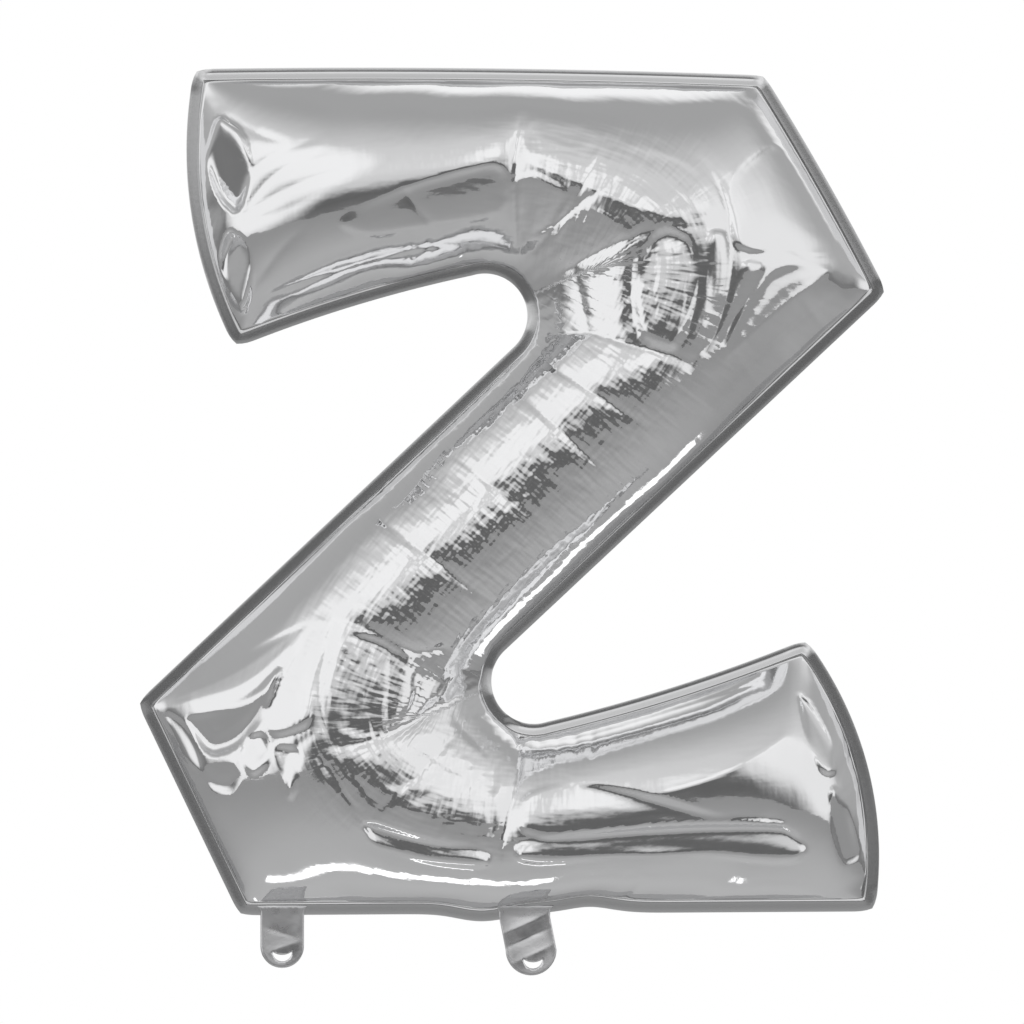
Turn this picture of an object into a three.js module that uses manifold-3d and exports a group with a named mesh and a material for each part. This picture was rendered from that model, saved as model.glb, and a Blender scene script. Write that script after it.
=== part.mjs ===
// Letter foil balloon: the letter Z, inflated, with its hanging tab and its inflation tail.
//
// Two metallised films are cut to one letter pattern, welded round the edge and blown up. The flat
// pattern is a wider, more open Z than the finished letter, because the film can't stretch: as the arms
// round out they draw their edges in and the two bays close up.
//
// Millimetres. X runs across the letter, Z up it, and the front faces -Y. The origin is the middle of
// the inflated envelope, in the plane of the weld.

import * as THREE from 'three';
import Module from 'manifold-3d';
import { mergeVertices } from 'three/addons/utils/BufferGeometryUtils.js';

// Weld line
// Corners of the line along which the films are welded, clockwise from the top arm's outer corner: [x, z]
// on the flat film, and where that corner lies when the letter is blown up. The side that starts at a
// corner bows outwards, by flatBow on the flat film and by bow on the letter. A bay has a round end.
const FLAT_BAY_RADIUS = 20;
const BAY_RADIUS = 22;
const WELD = [
  { name: 'top arm, outer corner', flat: [-131, 234], flatBow: 1, at: [-123, 164.5], bow: 1.5 },
  { name: 'right shoulder', flat: [92, 193], flatBow: 6, at: [98, 162], bow: 1 },
  { name: 'right point', flat: [140, 101], flatBow: -1, at: [144, 81], bow: 0 },
  { name: 'lower bay', flat: [-8, -105], flatBow: 4, at: [-77, -126], bow: -2, bay: true },
  { name: 'bottom arm, inner corner', flat: [148, -118], flatBow: 18, at: [116, -65], bow: 9.5 },
  { name: 'bottom arm, outer corner', flat: [141, -231], flatBow: -2, at: [141, -163], bow: 0 },
  { name: 'left shoulder', flat: [-108, -188], flatBow: 6, at: [-106, -164.5], bow: 0 },
  { name: 'left point', flat: [-151, -103], flatBow: -1, at: [-144, -85.5], bow: 0 },
  { name: 'upper bay', flat: [-11, 102], flatBow: 4, at: [72, 118.5], bow: -2, bay: true },
  { name: 'top arm, inner corner', flat: [-147, 123], flatBow: 15, at: [-108.5, 64], bow: 8 },
];

// Film and weld
const FILM = 1.6; // wall that stands for the film
const MARGIN = 5; // welded margin outside the weld line
const MARGIN_HALF = 0.8; // one film's share of the margin's thickness
const CORNER_REACH = 1.15; // width of the margin over a corner, next to its width along a side
const LEAST_WALL = 0.6; // wall left where the film lies close to the weld
const POINT_STEP = 11; // spacing of the points on the film
const BAY_FINER = 1.8; // how much closer they lie round the end of a bay

// Inflation
const STEPS = 1500;
const CLOSING = 0.4; // share of the steps in which the weld draws in from flat to finished
const PUSH_START = 0.02; // pressure step, large while the film opens out
const PUSH_END = 0.004; // and small while it settles
const DRAG = 0.99;

// Tabs on the lower weld
const ROOT_Z = -170; // straight lower edge of the margin, where a tab leaves it
const ROOT_REACH = 16; // half the length of margin that is kept straight there
const FOLD_GAP = 0.3;
const TAB = { x: -92, width: 17.4, foot: -190.5, lean: 0, half: 0.8 };
const TAIL = { x: 5, width: 20.4, foot: -193.4, lean: 0.2, half: 1.1 }; // lean is sideways over down
const TAIL_WELD = 3; // welded strip down each side of the tail
const SLEEVE_HALF = 0.3; // the flat valve sleeve between the tail's films
const SLEEVE_SETBACK = 1; // how far inside the tail's mouth it ends
const PUNCH = { radius: 3.8, rise: 6.4, dip: 1.2 }; // crescent punched near a tab's foot

const FOIL = { color: 0xc9cbcd, roughness: 0.16, metalness: 1 };
const FOIL_TAB = { color: 0xbfc1c3, roughness: 0.24, metalness: 1 };
const CLEAR_FILM = { color: 0xdfe3e4, roughness: 0.3, metalness: 0 };

// Points from start, included, to end, left out, on an arc that bows to the left of travel.
function arcPoints(start, end, bow, count) {
  const along = end.clone().sub(start);
  const left = new THREE.Vector2(-along.y, along.x).normalize();
  const chord = along.length();
  return Array.from({ length: count }, (_, k) => {
    const t = k / count;
    if (bow === 0) {
      return start.clone().addScaledVector(along, t);
    }
    const radius = (chord * chord / 4 + bow * bow) / (2 * Math.abs(bow));
    const angle = (2 * t - 1) * Math.asin(chord / 2 / radius);
    const across = radius * Math.sin(angle) / chord + 0.5;
    const height = (radius * Math.cos(angle) - radius + Math.abs(bow)) * Math.sign(bow);
    return start.clone().addScaledVector(along, across).addScaledVector(left, height);
  });
}

// The sides of the weld line and the round ends of its bays, in order, each from one point to another.
function weldLegs(corners, radius) {
  const bayEnds = (k) => {
    const at = corners[k].at;
    const before = corners.at(k - 1).at.clone().sub(at).normalize();
    const after = corners[(k + 1) % corners.length].at.clone().sub(at).normalize();
    const half = Math.acos(before.dot(after)) / 2;
    const reach = radius / Math.tan(half);
    return {
      start: at.clone().addScaledVector(before, reach),
      end: at.clone().addScaledVector(after, reach),
      sagitta: radius * (1 - Math.sin(half)),
    };
  };
  return corners.flatMap((corner, k) => {
    const next = (k + 1) % corners.length;
    const end = corners[next].bay ? bayEnds(next).start : corners[next].at;
    if (!corner.bay) {
      return [{ start: corner.at, end, bow: corner.bow }];
    }
    const bay = bayEnds(k);
    return [{ start: bay.start, end: bay.end, bow: -bay.sagitta }, { start: bay.end, end, bow: corner.bow }];
  });
}

// The weld line as points about step apart on the flat film, and the same points on the blown letter.
function weldLines(step) {
  const flatCorners = WELD.map((c) => ({ ...c, at: new THREE.Vector2(...c.flat), bow: c.flatBow }));
  const corners = WELD.map((c) => ({ ...c, at: new THREE.Vector2(...c.at) }));
  const flatLegs = weldLegs(flatCorners, FLAT_BAY_RADIUS);
  const legs = weldLegs(corners, BAY_RADIUS);
  const counts = flatLegs.map(({ start, end, bow }) => {
    const chord = start.distanceTo(end);
    const finer = bow < -BAY_RADIUS / 3 ? BAY_FINER : 1;
    return Math.round((chord + 8 * bow * bow / (3 * chord)) / step * finer);
  });
  const trace = (list) => list.flatMap(({ start, end, bow }, k) => arcPoints(start, end, bow, counts[k]));
  return { flat: trace(flatLegs).map((p) => p.toArray()), blown: trace(legs).map((p) => p.toArray()) };
}

function isInside(outline, x, z) {
  let inside = false;
  outline.forEach(([ax, az], k) => {
    const [bx, bz] = outline[(k + 1) % outline.length];
    if (az > z !== bz > z && x < ax + (bx - ax) * (z - az) / (bz - az)) {
      inside = !inside;
    }
  });
  return inside;
}

function distanceToRim(outline, x, z) {
  return Math.min(...outline.map(([ax, az], k) => {
    const [bx, bz] = outline[(k + 1) % outline.length];
    const along = ((x - ax) * (bx - ax) + (z - az) * (bz - az)) / ((bx - ax) ** 2 + (bz - az) ** 2);
    const t = Math.min(1, Math.max(0, along));
    return Math.hypot(ax + t * (bx - ax) - x, az + t * (bz - az) - z);
  }));
}

// A small steady shift for each grid point, so that no four of them lie on one circle.
function makeShift(size) {
  let state = 12345;
  return () => {
    state = (state * 1103515245 + 12345) % 2147483648;
    return (state / 2147483648 - 0.5) * size;
  };
}

// The rim's points come first, then a triangular grid inside it.
function filmPoints(rim, step) {
  const shift = makeShift(0.1 * step);
  const xs = rim.map((p) => p[0]);
  const zs = rim.map((p) => p[1]);
  const rowStep = step * Math.sqrt(3) / 2;
  const points = rim.map((p) => [...p]);
  for (let row = 0, z = Math.min(...zs); z < Math.max(...zs); row++, z += rowStep) {
    for (let x = Math.min(...xs) + (row % 2) * step / 2; x < Math.max(...xs); x += step) {
      const px = x + shift();
      const pz = z + shift();
      if (isInside(rim, px, pz) && distanceToRim(rim, px, pz) > 0.62 * step) {
        points.push([px, pz]);
      }
    }
  }
  return points;
}

function makeTriangle(points, a, b, c) {
  const [ax, az] = points[a];
  const [bx, bz] = points[b];
  const [cx, cz] = points[c];
  const twice = (bx - ax) * (cz - az) - (bz - az) * (cx - ax);
  const b2 = (bx - ax) ** 2 + (bz - az) ** 2;
  const c2 = (cx - ax) ** 2 + (cz - az) ** 2;
  const ux = (b2 * (cz - az) - c2 * (bz - az)) / (2 * twice);
  const uz = (c2 * (bx - ax) - b2 * (cx - ax)) / (2 * twice);
  const corners = twice > 0 ? [a, b, c] : [a, c, b];
  return { corners, x: ax + ux, z: az + uz, r2: ux * ux + uz * uz };
}

// Delaunay triangles of the points, kept where they lie inside the rim, counterclockwise in x and z.
// They are found on slightly shifted points, because points in one line have no circle through them.
function triangulate(points, rimCount, step) {
  const shift = makeShift(0.02 * step);
  const sites = points.map(([x, z]) => [x + shift(), z + shift()]);
  const rim = sites.slice(0, rimCount);
  const far = 1e4;
  const all = [...sites, [-far, -far], [far, -far], [0, far]];
  const first = sites.length;
  let triangles = [makeTriangle(all, first, first + 1, first + 2)];
  for (let k = 0; k < first; k++) {
    const [x, z] = sites[k];
    const open = new Map();
    triangles = triangles.filter((t) => {
      if ((x - t.x) ** 2 + (z - t.z) ** 2 >= t.r2) {
        return true;
      }
      t.corners.forEach((a, side) => {
        const b = t.corners[(side + 1) % 3];
        if (!open.delete(`${b},${a}`)) {
          open.set(`${a},${b}`, [a, b]);
        }
      });
      return false;
    });
    open.forEach(([a, b]) => triangles.push(makeTriangle(all, a, b, k)));
  }
  return triangles.map((t) => t.corners).filter((corners) => {
    if (Math.max(...corners) >= first) {
      return false;
    }
    const [cx, cz] = [0, 1].map((axis) => corners.reduce((sum, v) => sum + sites[v][axis], 0) / 3);
    return isInside(rim, cx, cz);
  });
}

function listEdges(points, triangles) {
  const edges = new Map();
  triangles.forEach((corners) => corners.forEach((a, side) => {
    const b = corners[(side + 1) % 3];
    const key = a < b ? `${a},${b}` : `${b},${a}`;
    edges.set(key, [a, b, Math.hypot(points[a][0] - points[b][0], points[a][1] - points[b][1])]);
  }));
  return [...edges.values()];
}

// Blows up one film. Pressure pushes every point out, and no edge of a triangle may grow longer than it
// is on the flat film, but it may shorten, as a film does by creasing. The weld draws in, in its own
// plane, to the line that it has on the finished letter.
// The result is [x, height above that plane, z] for each point.
function inflate(points, triangles, blownRim) {
  const rimCount = blownRim.length;
  const holdRim = (place, share) => blownRim.forEach(([x, z], k) => {
    place[k][0] = points[k][0] + (x - points[k][0]) * share;
    place[k][1] = 0;
    place[k][2] = points[k][1] + (z - points[k][1]) * share;
  });
  const edges = listEdges(points, triangles);
  const place = points.map(([x, z], k) => [x, k < rimCount ? 0 : 2, z]);
  const speed = points.map(() => [0, 0, 0]);
  const share = points.map(() => 0);
  triangles.forEach(([a, b, c]) => {
    const abx = points[b][0] - points[a][0];
    const abz = points[b][1] - points[a][1];
    const acx = points[c][0] - points[a][0];
    const acz = points[c][1] - points[a][1];
    [a, b, c].forEach((v) => {
      share[v] += Math.abs(abx * acz - abz * acx) / 6;
    });
  });
  const before = place.map((p) => [...p]);
  for (let step = 0; step < STEPS; step++) {
    const push = PUSH_START * (PUSH_END / PUSH_START) ** (step / STEPS);
    for (const [a, b, c] of triangles) {
      const [ax, ay, az] = place[a];
      const ab = [place[b][0] - ax, place[b][1] - ay, place[b][2] - az];
      const ac = [place[c][0] - ax, place[c][1] - ay, place[c][2] - az];
      const out = [
        ab[2] * ac[1] - ab[1] * ac[2],
        ab[0] * ac[2] - ab[2] * ac[0],
        ab[1] * ac[0] - ab[0] * ac[1],
      ];
      for (const v of [a, b, c]) {
        for (let axis = 0; axis < 3; axis++) {
          speed[v][axis] += push * out[axis] / 6 / share[v];
        }
      }
    }
    place.forEach((p, k) => {
      for (let axis = 0; axis < 3; axis++) {
        before[k][axis] = p[axis];
        p[axis] += speed[k][axis];
      }
    });
    const drawn = Math.min(1, step / STEPS / CLOSING);
    holdRim(place, drawn);
    for (const [a, b, length] of edges) {
      const p = place[a];
      const q = place[b];
      const gap = Math.hypot(q[0] - p[0], q[1] - p[1], q[2] - p[2]);
      if (gap > length) {
        const pull = (gap - length) / gap / 2;
        for (let axis = 0; axis < 3; axis++) {
          const move = (q[axis] - p[axis]) * pull;
          p[axis] += move;
          q[axis] -= move;
        }
      }
    }
    holdRim(place, drawn);
    place.forEach((p, k) => {
      for (let axis = 0; axis < 3; axis++) {
        speed[k][axis] = (p[axis] - before[k][axis]) * DRAG;
      }
    });
  }
  return place;
}

// The outward direction of the weld line at each of its points, in its plane. It is longer at a corner,
// where the margin is cut a little round.
function rimOutward(rim) {
  return rim.map(([x, z], k) => {
    const last = new THREE.Vector2(...rim.at(k - 1));
    const next = new THREE.Vector2(...rim[(k + 1) % rim.length]);
    const into = new THREE.Vector2(x, z).sub(last).normalize();
    const onward = next.sub(new THREE.Vector2(x, z)).normalize();
    const outward = new THREE.Vector2(-into.y - onward.y, into.x + onward.x).normalize();
    const stretch = Math.min(CORNER_REACH, 1 / outward.dot(new THREE.Vector2(-into.y, into.x)));
    return outward.multiplyScalar(stretch);
  });
}

// Outward directions of the blown film's points, from the triangles round each.
function filmNormals(place, triangles, rimCount, outward) {
  const normals = place.map(() => new THREE.Vector3());
  const [ab, ac] = [new THREE.Vector3(), new THREE.Vector3()];
  triangles.forEach(([a, b, c]) => {
    ab.set(...place[b]).sub(new THREE.Vector3(...place[a]));
    ac.set(...place[c]).sub(new THREE.Vector3(...place[a]));
    const out = ac.clone().cross(ab);
    [a, b, c].forEach((v) => normals[v].add(out));
  });
  normals.forEach((n, k) => {
    if (k < rimCount) {
      n.set(outward[k].x, 0, outward[k].y);
    } else {
      n.normalize();
    }
  });
  return normals;
}

// A closed mesh from its corners and its triangles.
function closedMesh(name, corners, triangles, finish) {
  const geometry = new THREE.BufferGeometry();
  geometry.setAttribute('position', new THREE.Float32BufferAttribute(corners.flat(), 3));
  geometry.setIndex(triangles.flat());
  geometry.computeVertexNormals();
  const mesh = new THREE.Mesh(geometry, new THREE.MeshStandardMaterial(finish));
  mesh.name = name;
  return mesh;
}

// One half of the envelope: the blown film with its wall, and its half of the welded margin round it. The
// margin's inner face lies in the plane of the weld, where the other half meets it.
function filmPanel(name, film, side) {
  const { place, triangles, rimCount, outward, normals } = film;
  const outer = place.map(([x, height, z], k) => [
    x,
    k < rimCount ? MARGIN_HALF : Math.max(height, MARGIN_HALF + LEAST_WALL),
    z,
  ]);
  const inner = place.map(([x, height, z], k) => {
    const deep = height - normals[k].y * FILM;
    return [
      x - normals[k].x * FILM,
      k < rimCount ? 0 : Math.min(Math.max(deep, LEAST_WALL / 2), outer[k][1] - LEAST_WALL),
      z - normals[k].z * FILM,
    ];
  });
  const marginAt = (k, height) => {
    const [x, , z] = place[k];
    const atRoot = z < 0 && [TAB, TAIL].some((tab) => Math.abs(x - tab.x) < ROOT_REACH && z < -150);
    return [x + outward[k].x * MARGIN, height, atRoot ? ROOT_Z : z + outward[k].y * MARGIN];
  };
  const rim = Array.from({ length: rimCount }, (_, k) => k);
  const corners = [
    ...outer,
    ...inner,
    ...rim.map((k) => marginAt(k, MARGIN_HALF)),
    ...rim.map((k) => marginAt(k, 0)),
  ].map(([x, height, z]) => [x, side * height, z]);
  const [innerFirst, topFirst, faceFirst] = [place.length, 2 * place.length, 2 * place.length + rimCount];
  const faces = triangles.flatMap(([a, b, c]) => [[a, b, c], [innerFirst + a, innerFirst + c, innerFirst + b]]);
  const addStrip = (first, second) => rim.forEach((k) => {
    const next = (k + 1) % rimCount;
    faces.push([first + k, first + next, second + next], [first + k, second + next, second + k]);
  });
  addStrip(0, topFirst);
  addStrip(topFirst, faceFirst);
  addStrip(faceFirst, innerFirst);
  return closedMesh(name, corners, side < 0 ? faces : faces.map(([a, b, c]) => [a, c, b]), FOIL);
}

// Outline of a tab: straight sides that lean over, and a round foot. inset draws it in all round.
function tabShape({ x, width, foot, lean, half }, inset, top) {
  const fold = ROOT_Z - FOLD_GAP - half;
  const radius = width / 2 - inset;
  const footZ = foot + inset + radius;
  const middleAt = (z) => x + lean * (fold - z);
  const leanTop = Math.min(top, fold);
  const shape = new THREE.Shape();
  shape.moveTo(middleAt(leanTop) - radius, top);
  if (top > fold) {
    shape.lineTo(middleAt(fold) - radius, fold);
  }
  shape.absarc(middleAt(footZ), footZ, radius, Math.PI, 2 * Math.PI, false);
  if (top > fold) {
    shape.lineTo(middleAt(fold) + radius, fold);
  }
  shape.lineTo(middleAt(leanTop) + radius, top);
  shape.closePath();
  return shape;
}

// The crescent punched through a tab near its foot: half a disc whose straight side sags to a flap.
function punchPath({ x, foot, lean }) {
  const { radius, rise, dip } = PUNCH;
  const cz = foot + rise;
  const cx = x + lean * (ROOT_Z - cz);
  const path = new THREE.Path();
  path.absarc(cx, cz, radius, Math.PI, 2 * Math.PI, false);
  path.quadraticCurveTo(cx, cz - 2 * dip, cx - radius, cz);
  return path;
}

// A flat piece from y = low to y = high. Above the fold line its edge is round about the fold's axis.
function flatGeometry(shape, low, high, fold, half) {
  const layers = 4;
  const geometry = new THREE.ExtrudeGeometry(shape, {
    depth: high - low,
    steps: layers,
    bevelEnabled: false,
    curveSegments: 9,
  });
  const position = geometry.getAttribute('position');
  for (let k = 0; k < position.count; k++) {
    const y = high - position.getZ(k);
    const z = position.getY(k);
    const round = Math.sqrt(1 - (y / (1.02 * half)) ** 2);
    position.setXYZ(k, position.getX(k), y, z > fold ? fold + (z - fold) * round : z);
  }
  return geometry;
}

const wasm = await Module();
wasm.setup();

function toSolid(geometry) {
  geometry.deleteAttribute('normal');
  geometry.deleteAttribute('uv');
  const merged = mergeVertices(geometry, 1e-5);
  return new wasm.Manifold(new wasm.Mesh({
    numProp: 3,
    vertProperties: new Float32Array(merged.getAttribute('position').array),
    triVerts: new Uint32Array(merged.getIndex().array),
  }));
}

function solidMesh(name, solid, finish) {
  const { vertProperties, triVerts } = solid.getMesh();
  const geometry = new THREE.BufferGeometry();
  geometry.setAttribute('position', new THREE.BufferAttribute(new Float32Array(vertProperties), 3));
  geometry.setIndex([...triVerts]);
  geometry.computeVertexNormals();
  const mesh = new THREE.Mesh(geometry, new THREE.MeshStandardMaterial(finish));
  mesh.name = name;
  return mesh;
}

// The hanging tab: both films welded flat, with a punched crescent to tie or pin it by.
function hangingTab() {
  const fold = ROOT_Z - FOLD_GAP - TAB.half;
  const shape = tabShape(TAB, 0, fold + TAB.half);
  shape.holes.push(punchPath(TAB));
  return solidMesh('hanging_tab', toSolid(flatGeometry(shape, -TAB.half, TAB.half, fold, TAB.half)), FOIL_TAB);
}

// The inflation tail: two films welded down their sides, open at the foot, round a flat valve sleeve.
function inflationTail() {
  const fold = ROOT_Z - FOLD_GAP - TAIL.half;
  const shape = tabShape(TAIL, 0, fold + TAIL.half);
  shape.holes.push(punchPath(TAIL));
  const channel = toSolid(flatGeometry(
    tabShape({ ...TAIL, foot: TAIL.foot - 2 * TAIL_WELD }, TAIL_WELD, fold + 2 * TAIL.half),
    -SLEEVE_HALF,
    SLEEVE_HALF,
    0,
    TAIL.half,
  ));
  const front = toSolid(flatGeometry(shape, -TAIL.half, 0, fold, TAIL.half)).subtract(channel);
  const back = toSolid(flatGeometry(shape, 0, TAIL.half, fold, TAIL.half)).subtract(channel);
  const sleeveShape = tabShape(
    { ...TAIL, foot: TAIL.foot + SLEEVE_SETBACK - TAIL_WELD - FOLD_GAP },
    TAIL_WELD + FOLD_GAP,
    fold - FOLD_GAP,
  );
  sleeveShape.holes.push(punchPath(TAIL));
  const sleeve = toSolid(flatGeometry(sleeveShape, -SLEEVE_HALF, SLEEVE_HALF, 0, TAIL.half));
  return [
    solidMesh('tail_front_film', front, FOIL_TAB),
    solidMesh('tail_back_film', back, FOIL_TAB),
    solidMesh('valve_sleeve', sleeve, CLEAR_FILM),
  ];
}

function envelope() {
  const { flat, blown } = weldLines(POINT_STEP);
  const points = filmPoints(flat, POINT_STEP);
  const triangles = triangulate(points, flat.length, POINT_STEP);
  const place = inflate(points, triangles, blown);
  const outward = rimOutward(blown);
  const film = {
    place,
    triangles,
    rimCount: blown.length,
    outward,
    normals: filmNormals(place, triangles, blown.length, outward),
  };
  return [filmPanel('front_panel', film, -1), filmPanel('back_panel', film, 1)];
}

const balloon = new THREE.Group();
balloon.name = 'letter_foil_balloon';
balloon.add(...envelope(), hangingTab(), ...inflationTail());

export default balloon;
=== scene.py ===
"""Letter foil balloon, the letter Z: two mirror-bright films, welded round the edge and blown up.

The films start flat, as they were cut, and are blown up here by relaxation: film can't stretch, the air
pushes it out, and where it has more length than the round form needs it ripples. The large folds of the
bends and the leaves at the arms' ends are pressed in one by one. Lengths are in millimetres until a mesh
is made, then in metres.
"""

import math

import bpy
import numpy as np
from mathutils import Matrix, Vector
from mathutils.geometry import delaunay_2d_cdt


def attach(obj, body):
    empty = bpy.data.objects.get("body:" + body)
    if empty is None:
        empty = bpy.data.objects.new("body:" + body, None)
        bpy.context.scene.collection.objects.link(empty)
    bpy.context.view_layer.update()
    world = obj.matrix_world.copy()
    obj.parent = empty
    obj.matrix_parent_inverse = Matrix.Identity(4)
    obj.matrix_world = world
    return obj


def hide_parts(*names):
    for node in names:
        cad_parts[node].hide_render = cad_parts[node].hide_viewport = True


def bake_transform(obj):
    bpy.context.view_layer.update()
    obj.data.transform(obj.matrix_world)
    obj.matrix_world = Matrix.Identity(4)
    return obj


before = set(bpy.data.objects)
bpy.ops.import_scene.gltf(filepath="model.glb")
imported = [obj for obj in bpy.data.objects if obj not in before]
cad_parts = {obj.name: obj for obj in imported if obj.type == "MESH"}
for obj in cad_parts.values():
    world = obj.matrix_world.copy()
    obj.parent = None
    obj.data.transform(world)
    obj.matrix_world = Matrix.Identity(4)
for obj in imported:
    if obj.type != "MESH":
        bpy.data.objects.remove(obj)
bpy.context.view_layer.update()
MM = 0.001

# Weld line
# Corners clockwise from the top arm's outer corner: x, z and outward bow of the next side on the flat
# film, then the same on the blown letter, and whether the corner is the round end of a bay.
FLAT_BAY_RADIUS = 20.0
BAY_RADIUS = 22.0
WELD = [
    (-131, 234, 1, -123, 164.5, 1.5, False),
    (92, 193, 6, 98, 162, 1, False),
    (140, 101, -1, 144, 81, 0, False),
    (-8, -105, 4, -77, -126, -2, True),
    (148, -118, 18, 116, -65, 9.5, False),
    (141, -231, -2, 141, -163, 0, False),
    (-108, -188, 6, -106, -164.5, 0, False),
    (-151, -103, -1, -144, -85.5, 0, False),
    (-11, 102, 4, 72, 118.5, -2, True),
    (-147, 123, 15, -108.5, 64, 8, False),
]
# Points of the weld line lie closer round a bay's end, which is a side that bows in this far
BAY_END_BOW = -7.0
BAY_END_DENSITY = 1.8
# Rows of the welded margin, outside the weld line: how far out, and half its thickness there
MARGIN_ROWS = [(0.25, 0.30), (1.0, 0.22), (2.2, 0.18), (3.2, 0.17), (3.5, 0.16), (4.7, 0.12), (5.0, 0.03)]
# How often the margin's way out is evened out round the corners
CORNER_EASE = 6
# How far the margin leans back for each mm outwards, by how far it points up: forwards on the upper slants
MARGIN_LEANS = [(-1, 0.10), (-0.3, 0.10), (0, 0), (0.3, -0.10), (0.8, -0.10), (0.95, 0.30)]
# Its outer lip starts this far out, and turns forwards where it points up and back where it points down
MARGIN_LIP, LIP_LEAN, LIP_TURN = 3.2, -0.12, 0.3
# The bottom weld, below BOTTOM_Z: x, and how far it is drawn up there, over PULL_WIDTH
BOTTOM_Z = -160
BOTTOM_PULLS = [(31, 2.5), (-12, -3.0)]
PULL_WIDTH = 13

# Seeds of the random draws
GATHER_SEED, FILM_SEED, SORT_SEED, NOISE_SEED, TAB_SEED = 5, 7, 3, 11, 5

# The blowing up: detail level, rounds, push of the air and stiffness against folding
FIRST_STEP = 10.0
STAGES = [
    (0, 1100, 0.02, 0.02),
    (1, 300, 0.003, 0.1),
    (2, 150, 0.001, 0.2),
    (3, 40, 0.0005, 0.25),
]
# On level 0 the air eases off to AIR_LEFT, and the weld is drawn in over the first DRAWN_BY of the rounds
AIR_LEFT, DRAWN_BY = 0.2, 0.4
# Share of its speed that a point keeps from round to round, on level 0 and on the finer ones
FIRST_DRIFT, FINE_DRIFT = 0.99, 0.9
# Share of its way to the front or back that the weld keeps each round, on the finer levels
WELD_SWAY = 0.97
# How far each film starts from the weld's plane, and how uneven the films are made before a stage
START_GAP = 2
STAGE_NOISE, RIPPLE_NOISE = 0.02, 0.03
# Ripples: one more relaxation, in which edges resist shortening, and the share of it that shows
RIPPLE_ROUNDS = 50
RIPPLE_FIRMNESS = 0.6
RIPPLE_STIFFNESS = 0.03
RIPPLES_EVERYWHERE = 0.05
DIAGONAL_RIPPLES = 0.01
# The diagonal's x for each mm of z, and how far to its sides it counts as the diagonal
DIAGONAL_SLOPE, DIAGONAL_REACH = 0.85, 75

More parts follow.
